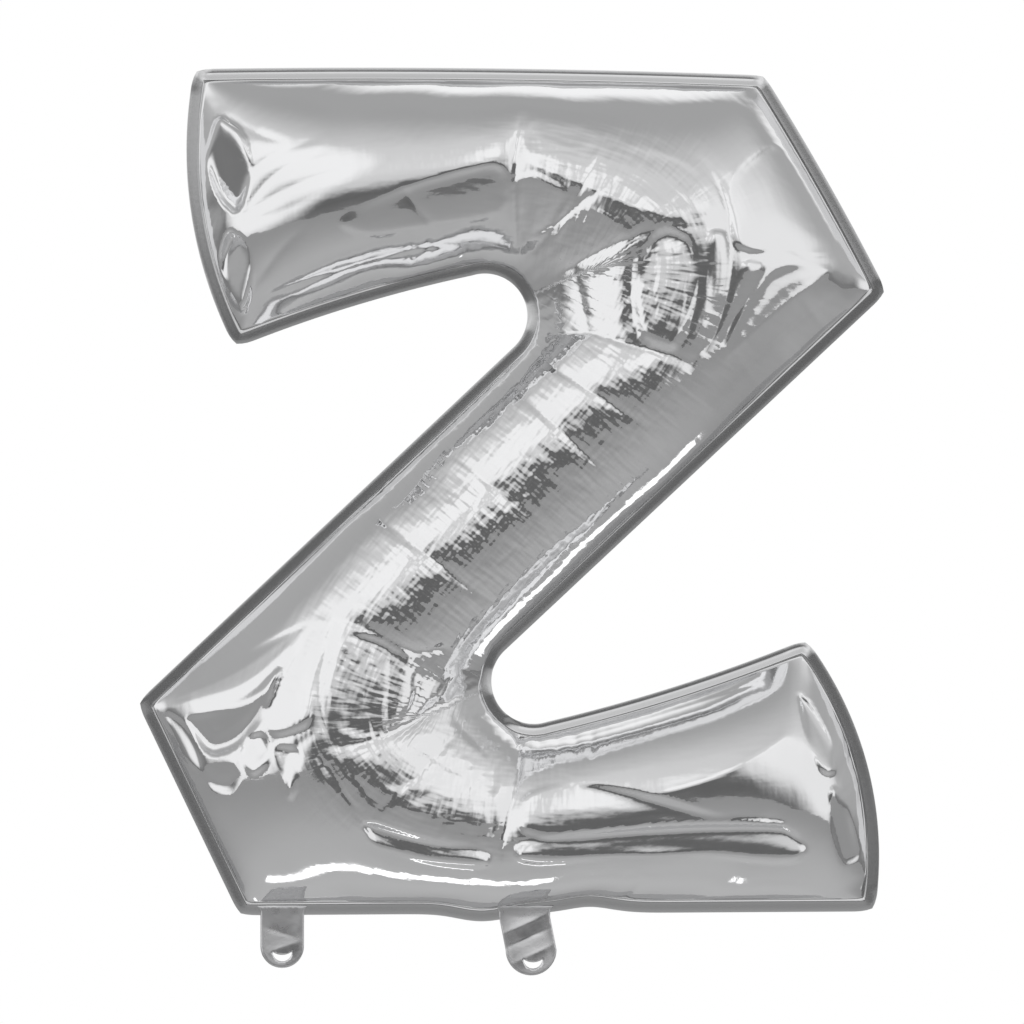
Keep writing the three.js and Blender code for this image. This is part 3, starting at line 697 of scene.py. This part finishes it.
def limb_map(spot):
    """Where each point lies along and across the letter's limbs, and how strong its fine ripples are."""
    line = smooth_line(LIMBS, 4)
    away, where = along_line(spot, line)
    spans = np.linalg.norm(np.diff(line, axis=0), axis=1)
    along = where * spans.sum()
    marks = np.concatenate([[0], np.cumsum(spans)])
    k = np.clip(np.searchsorted(marks, along) - 1, 0, len(spans) - 1)
    step = (line[k + 1] - line[k]) / spans[k][:, None]
    side = np.sign(step[:, 0] * (spot - line[k])[:, 1] - step[:, 1] * (spot - line[k])[:, 0])
    ripple = np.interp(where, RIPPLE_MARKS, RIPPLE_DEPTHS)
    ripple *= np.interp(away, RIPPLE_DISTANCES, RIPPLE_SHARES)
    return np.stack([along, away * side], 1), ripple


def margin_rows(line, flat_line, sign):
    """The margin's rows outside the weld line, each as its points and its places on the flat film."""
    outward, flat_outward = outward_of(line[:, [0, 2]]), outward_of(flat_line)
    lean = np.interp(outward[:, 1], *zip(*MARGIN_LEANS))
    lip = LIP_LEAN * np.clip(outward[:, 1] / LIP_TURN, -1, 1)
    rows = []
    for away, lift in MARGIN_ROWS:
        row = line.copy()
        row[:, [0, 2]] += outward * away
        row[:, 1] += sign * lift + min(away, MARGIN_LIP) * lean + max(away - MARGIN_LIP, 0) * lip
        rows.append((row, flat_line + flat_outward * away))
    return rows


def envelope_film(name, films, film):
    """One film of the envelope with its half of the welded margin."""
    flat, place, triangles, side, rim = films
    keep = triangles[side == film]
    used = np.unique(keep)
    count = len(rim)
    rows = margin_rows(place[rim], flat[rim], -1 if film == 0 else 1)
    places = np.vstack([place[used]] + [row for row, _ in rows])
    flats = np.vstack([flat[used]] + [flat_row for _, flat_row in rows])
    margin = len(used) + np.arange(count * len(rows)).reshape(-1, count)
    rings = np.vstack([np.searchsorted(used, rim), margin])
    after = np.roll(rings, -1, 1)
    quads = np.stack([rings[:-1], after[:-1], after[1:], rings[1:]], 2).reshape(-1, 4)
    if film == 1:
        quads = quads[:, ::-1]
    weld = np.concatenate([np.isin(used, rim), np.ones(margin.size)])
    faces = np.searchsorted(used, keep).tolist() + quads.tolist()
    along, ripple = limb_map(places[:, [0, 2]])
    ripple[len(used):] = 0
    return new_piece(name, places, faces, flats, weld, along, ripple)


# Tabs
# Widths, feet and folds are those of the CAD solids, with a root that runs up over the margin.
ROOT_Z = -170.0
TAB = {"x": -92.0, "width": 17.4, "foot": -190.5, "lean": 0.0}
TAIL = {"x": 5.0, "width": 20.4, "foot": -193.4, "lean": 0.2}
# Half the thickness of the sheets, and the sleeve: in from the tail's sides, out of its foot, and its top
TAB_HALF, TAIL_HALF, SLEEVE_HALF = 0.35, 0.12, 0.1
SLEEVE = {"inset": 3.0, "lower": 1.5, "top": -173.5}
TAIL_FILMS = [("tail_front_foil", "tail_front_film", -1), ("tail_back_foil", "tail_back_film", 1)]
SHEET_STEP = 0.7
# The root's top, how far its sides flare out there, and over what length that dies away
ROOT_TOP = -165.6
FLARE, FLARE_FADE = 1.6, 1.0
# The punched crescent's radius, its height above the foot, and how far its flap sags
PUNCH_RADIUS, PUNCH_RISE, PUNCH_DIP = 3.8, 6.4, 1.2
# A sheet's edge has this share of its thickness, and gains the rest at this rate; its weld is this wide
THIN_EDGE, EDGE_WIDTH = 0.35, 0.8
SIDE_WELD = 2.2
# Soft folds across a tab: start, end, width and height, and how much of it is left at its ends
CREASE_ENDS = 0.4
TAB_CREASES = [
    ((-99, -174), (-87, -178), 2.0, 0.22),
    ((-97, -184), (-85, -180), 2.0, -0.18),
]
TAIL_CREASES = [
    ((-6, -178), (14, -169), 2.4, -0.4),
    ((-4, -183), (16, -174), 2.2, 0.35),
    ((0, -189), (19, -180), 2.0, -0.25),
]
# How the tabs curl forwards, wave from side to side and twist, by how far down they are
TAB_CURL, TAIL_CURL = 0.0016, 0.0014
WAVE_HEIGHT, WAVE_PITCH, WAVE_START, WAVE_GROWTH = 0.25, 0.30, 0.6, 15
TAIL_TWIST, TWIST_GROWTH = 0.035, 12
# Half the gap between the tail's films at their sides, how much it grows to the middle, and over what
PUFF_SIDES, PUFF_MIDDLE = 0.32, 0.5
PUFF_HALF_WIDTH, PUFF_GROWTH = 8, 8


def middle_at(tab, z):
    """The x of a tab's middle at a height."""
    return tab["x"] + tab["lean"] * (ROOT_Z - np.minimum(z, ROOT_Z))


def lower_arc(x, z, radius):
    turn = np.linspace(math.pi, 2 * math.pi, round(math.pi * radius / SHEET_STEP) + 1)
    return np.stack([x + radius * np.cos(turn), z + radius * np.sin(turn)], 1)


def tab_outline(tab, inset, top, lower):
    """A tab's outline, counterclockwise from its upper left: sides, round foot and flared root."""
    radius = tab["width"] / 2 - inset
    foot = tab["foot"] - lower + tab["width"] / 2
    sides = np.arange(top, foot, -SHEET_STEP)
    flare = (FLARE if inset == 0 else 0) * np.exp((sides - top) / FLARE_FADE)
    left = np.stack([middle_at(tab, sides) - radius - flare, sides], 1)
    right = np.stack([middle_at(tab, sides) + radius + flare, sides], 1)
    return np.vstack([left, lower_arc(middle_at(tab, foot), foot, radius), right[::-1]])


def punch_outline(tab):
    """The crescent near the foot: half a disc whose straight side sags to a flap."""
    z = tab["foot"] + PUNCH_RISE
    x = middle_at(tab, z)
    t = np.linspace(0, 1, round(2 * PUNCH_RADIUS / SHEET_STEP) + 1)[1:-1]
    sag = np.stack([x + PUNCH_RADIUS * (1 - 2 * t), z - 4 * PUNCH_DIP * t * (1 - t)], 1)
    return np.vstack([lower_arc(x, z, PUNCH_RADIUS), sag])


def tab_sheet(name, tab, middle, half, inset=0.0, lower=0.0, top=ROOT_TOP):
    """A closed thin sheet in a tab's outline, on the surface y = middle(x, z)."""
    outline = tab_outline(tab, inset, top, lower)
    hole = punch_outline(tab)
    grid = grid_inside(outline, SHEET_STEP, TAB_CLEAR, TAB_SEED)
    grid = grid[inside_depth(grid, hole) < -TAB_CLEAR * SHEET_STEP]
    sites = np.vstack([outline, hole, grid])
    loops = [np.arange(len(outline)), len(outline) + np.arange(len(hole))]
    film = triangulated(sites, loops)
    film = film[inside_depth(sites[film].mean(1), hole) < 0]
    y = middle(sites[:, 0], sites[:, 1])
    count = len(sites)
    depth = inside_depth(sites, outline)
    slim = half * np.clip(THIN_EDGE + depth / EDGE_WIDTH, THIN_EDGE, 1)
    places = np.vstack([np.stack([sites[:, 0], y + away, sites[:, 1]], 1) for away in (-slim, slim)])
    faces = film.tolist() + (film[:, ::-1] + count).tolist()
    for loop in (loops[0], loops[1][::-1]):
        for a, b in zip(loop.tolist(), np.roll(loop, -1).tolist()):
            faces.append([b, a, a + count, b + count])
    weld = np.clip(1 - depth / SIDE_WELD, 0, 1)
    return new_piece(name, places, faces, np.vstack([sites, sites]), np.tile(weld, 2))


def crease(x, z, start, end, width, depth):
    """A soft fold across a tab, as a height."""
    away, where = along_line(np.stack([x, z], 1), np.array([start, end], float))
    return depth * np.exp(-away / width) * np.clip(1 + CREASE_ENDS - np.abs(2 * where - 1), 0, 1)


def tab_surface(x, z):
    """The hanging tab curls a little forwards and has a few soft creases."""
    down = np.clip(ROOT_Z - z, 0, None)
    wave = WAVE_HEIGHT * np.sin((x - TAB["x"]) * WAVE_PITCH + WAVE_START) * down / WAVE_GROWTH
    return wave - TAB_CURL * down ** 2 + sum(crease(x, z, *fold) for fold in TAB_CREASES)


def tail_surface(x, z):
    """The tail is creased across by slanting folds, as film that was rolled up and let go."""
    down = np.clip(ROOT_Z - z, 0, None)
    twist = TAIL_TWIST * (x - middle_at(TAIL, z)) * np.clip(down / TWIST_GROWTH, 0, 1)
    return twist - TAIL_CURL * down ** 2 + sum(crease(x, z, *fold) for fold in TAIL_CREASES)


def tail_puff(x, z):
    """How far each of the tail's films stands off its middle, most between its welded sides."""
    across = np.clip(1 - ((x - middle_at(TAIL, z)) / PUFF_HALF_WIDTH) ** 2, 0, 1)
    return PUFF_SIDES + PUFF_MIDDLE * across * np.clip((ROOT_Z - z) / PUFF_GROWTH, 0, 1)


def tail_film_surface(sign):
    """The middle of the tail's front film, sign -1, or back film, sign 1."""
    return lambda x, z: tail_surface(x, z) + sign * tail_puff(x, z)


# Materials

# Colour, dullness of the film and of its weld, and strength of the film's grain
FOIL = ((0.87, 0.872, 0.88), 0.07, 0.16, 0.03)
TAB_FOIL = ((0.78, 0.78, 0.79), 0.24, 0.34, 0.06)
# The weld's colour as a share of the film's
WELD_TINT = 0.85
# Noise: scale and detail
HAZE_NOISE, GRAIN_NOISE, WAVE_NOISE, VALVE_NOISE = (9.0, 4.0), (60.0, 3.0), (1.0, 1.0), (40.0, 3.0)
EMBOSS_WAVES = {"Scale": 120.0, "Distortion": 2.0}
# As the haze goes between these two, the film's dullness goes between these shares of it
HAZE_ENDS, HAZE_SHARES = (0.3, 0.7), (0.6, 1.5)
# Ripples to the decimetre, along the limb and across it, of the two crossing sets
RIPPLE_PITCHES = [(32.0, 8.0, 1.0), (9.0, 30.0, 1.0)]
# Bumps: strength, and height in metres
GRAIN_HEIGHT = 0.0004
RIPPLE_BUMP, EMBOSS_BUMP, VALVE_BUMP = (1.0, 0.0003), (0.12, 0.00004), (0.2, 0.0003)
VALVE_FILM = {"Base_Color": (0.86, 0.89, 0.92, 1), "IOR": 1.49, "Transmission_Weight": 0.75}
VALVE_DULLNESS = (0.12, 0.3)
# The floor's grey in reflections and to the camera
FLOOR_GREYS = (0.46, 0.9)
FLOOR_DULLNESS = 0.9


def shader_of(name):
    material = bpy.data.materials.new(name)
    material.use_nodes = True
    nodes = material.node_tree.nodes
    return material, nodes, nodes["Principled BSDF"]


def join(output, socket):
    output.id_data.links.new(output, socket)


def fill(node, **fields):
    """Sets a node up. Lower-case fields are its settings, the others its inputs: numbers or outputs."""
    for name, value in fields.items():
        if name.islower():
            setattr(node, name, value)
        elif isinstance(value, bpy.types.NodeSocket):
            join(value, node.inputs[name.replace("_", " ")])
        else:
            node.inputs[name.replace("_", " ")].default_value = value
    return node


def add_node(nodes, kind, **fields):
    return fill(nodes.new("ShaderNode" + kind), **fields)


def noise(nodes, coords, scale, detail):
    return add_node(nodes, "TexNoise", Vector=coords, Scale=scale, Detail=detail).outputs["Fac"]


def mapped(nodes, value, low, high, start=0.0, end=1.0, kind="LINEAR"):
    """From low to high as the value goes from start to end."""
    ends = {"From_Min": start, "From_Max": end, "To_Min": low, "To_Max": high}
    return add_node(nodes, "MapRange", interpolation_type=kind, Value=value, **ends).outputs[0]


def mixed(nodes, factor, colour, other):
    """A mix of a colour with another one, or with a grey."""
    if isinstance(other, float):
        other = (other, other, other, 1)
    return add_node(nodes, "Mix", data_type="RGBA", Factor=factor, A=colour, B=other).outputs["Result"]


def combined(nodes, operation, first, second):
    node = add_node(nodes, "Math", operation=operation)
    join(first, node.inputs[0])
    join(second, node.inputs[1])
    return node.outputs[0]


def bump(nodes, height, strength, distance, **over):
    """A bump, over another one given as Normal."""
    return add_node(nodes, "Bump", Height=height, Strength=strength, Distance=distance, **over).outputs[0]


def crossing_ripples(nodes):
    """Two crossing sets of fine ripples, as strong as the mesh says."""
    along = add_node(nodes, "UVMap", uv_map="along").outputs[0]
    sets = [
        noise(nodes, add_node(nodes, "Mapping", Vector=along, Scale=pitch).outputs[0], *WAVE_NOISE)
        for pitch in RIPPLE_PITCHES
    ]
    strength = add_node(nodes, "Attribute", attribute_name="ripple").outputs["Fac"]
    return combined(nodes, "MULTIPLY", combined(nodes, "ADD", *sets), strength)


def foil_material(name, colour, dull, weld_dull, grain):
    """Metal-coated film: a mirror with the film's faint grain, dulled and embossed along the weld."""
    material, nodes, shader = shader_of(name)
    film = add_node(nodes, "UVMap", uv_map="film").outputs[0]
    weld = add_node(nodes, "Attribute", attribute_name="weld").outputs["Fac"]
    tint = mixed(nodes, weld, (*colour, 1), (*(WELD_TINT * part for part in colour), 1))
    low, high = (dull * share for share in HAZE_SHARES)
    dullness = mapped(nodes, noise(nodes, film, *HAZE_NOISE), low, high, *HAZE_ENDS)
    dullness = add_node(nodes, "Mix", Factor=weld, A=dullness, B=weld_dull).outputs["Result"]
    surface = bump(nodes, noise(nodes, film, *GRAIN_NOISE), grain, GRAIN_HEIGHT)
    surface = bump(nodes, crossing_ripples(nodes), *RIPPLE_BUMP, Normal=surface)
    emboss = add_node(nodes, "TexWave", bands_direction="DIAGONAL", Vector=film, **EMBOSS_WAVES)
    embossed = combined(nodes, "MULTIPLY", emboss.outputs["Fac"], weld)
    surface = bump(nodes, embossed, *EMBOSS_BUMP, Normal=surface)
    fill(shader, Metallic=1, Base_Color=tint, Roughness=dullness, Normal=surface)
    return material


def valve_material():
    """Clear plastic film of the valve sleeve."""
    material, nodes, shader = shader_of("valve_film")
    film = add_node(nodes, "UVMap", uv_map="film").outputs[0]
    haze = noise(nodes, film, *VALVE_NOISE)
    fill(shader, **VALVE_FILM, Roughness=mapped(nodes, haze, *VALVE_DULLNESS))
    fill(shader, Normal=bump(nodes, haze, *VALVE_BUMP))
    return material


def floor_material():
    material, nodes, shader = shader_of("pale_floor")
    seen = add_node(nodes, "LightPath").outputs["Is Camera Ray"]
    fill(shader, Base_Color=mapped(nodes, seen, *FLOOR_GREYS), Roughness=FLOOR_DULLNESS)
    return material


# Studio

# Grey of the studio's front half and back half, by height above the horizon in degrees
FRONT_GREYS = [
    (-90, .28), (-50, .24), (-24, .20), (-14, .16), (-7, .13), (-2, .14), (1, .36),
    (6, .64), (16, .74), (42, .68), (60, .52), (78, .40), (90, .38),
]
BACK_GREYS = [(-90, .20), (-10, .22), (0, .40), (15, .45), (50, .40), (90, .40)]
# The front half begins between these parts of the direction towards the camera
FRONT_EDGE = (-0.25, 0.35)
# Soft light panels: the way to each, its inner and outer edge in degrees, and brightness
PANELS = [
    ((-0.50, -0.76, 0.42), 9, 21, 0.98),
    ((0.08, -0.92, 0.36), 4, 15, 0.98),
    ((0.62, -0.68, 0.38), 8, 19, 0.98),
    ((-0.85, -0.55, 0.12), 14, 36, 0.95),
    ((0.85, -0.55, 0.12), 14, 36, 0.88),
    ((0.2, 0.85, 0.52), 20, 38, 1.0),
]
# Long narrow lights out of the picture: name, place, the way its length runs, size, brightness of its face
STRIPS = [
    ("low_strip", (-0.16, 0.06, -1.1), (1, 0, 0), (0.5, 0.14), 1.0),
    ("low_right_strip", (0.65, 0.85, -0.83), (0.63, 0, 0.78), (0.5, 0.3), 1.0),
]
# Light on the floor alone
POOL_LIGHT = (0.0, 0.1, 0.9)
POOL_SIZE = 0.6
POOL_POWER = 22
FLOOR_Z = -1.2
FLOOR_RADIUS, FLOOR_SIDES = 4.5, 96
CAMERA_DISTANCE = 2.05
CAMERA_LENS = 180
CAMERA_HEIGHT = -0.008


def height_ramp(nodes, height, greys):
    ramp = add_node(nodes, "ValToRGB", Fac=mapped(nodes, height, 0, 1, -1, 1))
    elements = ramp.color_ramp.elements
    while len(elements) < len(greys):
        elements.new(0.5)
    for element, (angle, grey) in zip(elements, greys):
        element.position = (math.sin(math.radians(angle)) + 1) / 2
        element.color = (grey, grey, grey, 1)
    return ramp.outputs[0]


def soft_mask(nodes, coords, toward, low, high):
    """From 0 to 1 as the direction's part along toward goes from low to high."""
    dot = add_node(nodes, "VectorMath", operation="DOT_PRODUCT")
    join(coords, dot.inputs[0])
    dot.inputs[1].default_value = Vector(toward).normalized()
    return mapped(nodes, dot.outputs["Value"], 0, 1, low, high, "SMOOTHSTEP")


def studio_world():
    """A plain grey studio with soft light panels. The camera sees it white."""
    world = bpy.data.worlds.new("studio")
    bpy.context.scene.world = world
    world.use_nodes = True
    nodes = world.node_tree.nodes
    coords = add_node(nodes, "TexCoord").outputs["Generated"]
    height = add_node(nodes, "SeparateXYZ", Vector=coords).outputs["Z"]
    front = height_ramp(nodes, height, FRONT_GREYS)
    colour = height_ramp(nodes, height, BACK_GREYS)
    colour = mixed(nodes, soft_mask(nodes, coords, (0, -1, 0), *FRONT_EDGE), colour, front)
    for toward, inner, outer, grey in PANELS:
        edges = [math.cos(math.radians(angle)) for angle in (outer, inner)]
        colour = mixed(nodes, soft_mask(nodes, coords, toward, *edges), colour, grey)
    seen = add_node(nodes, "LightPath").outputs["Is Camera Ray"]
    fill(nodes["Background"], Color=mixed(nodes, seen, colour, 1.0))


def area_light(name, place, size, power):
    data = bpy.data.lights.new(name, "AREA")
    data.shape = "RECTANGLE"
    data.size, data.size_y = size
    data.energy = power
    obj = placed(name, data)
    obj.location = place
    obj.visible_camera = False
    return obj


def strip_light(name, place, run, size, brightness):
    """A strip that faces the balloon, with its length along run."""
    obj = area_light(name, place, size, brightness * math.pi * size[0] * size[1])
    away = Vector(place).normalized()
    length = (Vector(run) - away * away.dot(run)).normalized()
    turn = Matrix((length, away.cross(length), away)).transposed()
    obj.rotation_euler = turn.to_euler()


def pool_light():
    """Lights the floor under the balloon, and doesn't show in the foil."""
    obj = area_light("pool_light", POOL_LIGHT, (POOL_SIZE, POOL_SIZE), POOL_POWER)
    obj.visible_glossy = False


def pale_floor():
    """A round floor, too low to be seen from the front."""
    mesh = bpy.data.meshes.new("floor")
    turns = np.linspace(0, 2 * math.pi, FLOOR_SIDES, endpoint=False)
    edge = [(FLOOR_RADIUS * math.cos(turn), FLOOR_RADIUS * math.sin(turn), FLOOR_Z) for turn in turns]
    mesh.from_pydata(edge, [], [tuple(range(FLOOR_SIDES))])
    mesh.materials.append(floor_material())
    return placed("floor", mesh)


# Camera
camera = placed("camera", bpy.data.cameras.new("camera"))
camera.data.lens = CAMERA_LENS
camera.location = (0, -CAMERA_DISTANCE, CAMERA_HEIGHT)
camera.rotation_euler = (math.radians(90), 0, 0)
bpy.context.scene.camera = camera
bpy.context.scene.view_settings.view_transform = "Standard"

foil = foil_material("foil", *FOIL)
tab_foil = foil_material("tab_foil", *TAB_FOIL)
clear_film = valve_material()

# Envelope
films = blown_films()
for film, (name, node) in enumerate([("front_film", "front_panel"), ("back_film", "back_panel")]):
    piece = envelope_film(name, films, film)
    piece.data.materials.append(foil)
    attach(piece, "envelope")
    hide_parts(node)

# Hanging tab. It and the tail bend below ROOT_Z.
tab = tab_sheet("tab_foil_sheet", TAB, tab_surface, TAB_HALF)
tab.data.materials.append(tab_foil)
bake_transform(tab)
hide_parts("hanging_tab")

# Inflation tail, with the valve sleeve between its films
for name, node, sign in TAIL_FILMS:
    piece = tab_sheet(name, TAIL, tail_film_surface(sign), TAIL_HALF)
    piece.data.materials.append(tab_foil)
    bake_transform(piece)
    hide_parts(node)
sleeve = tab_sheet("valve_sleeve_film", TAIL, tail_surface, SLEEVE_HALF, **SLEEVE)
sleeve.data.materials.append(clear_film)
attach(sleeve, "inflation_tail")
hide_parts("valve_sleeve")

# Studio
studio_world()
for strip in STRIPS:
    strip_light(*strip)
pool_light()
floor = pale_floor()
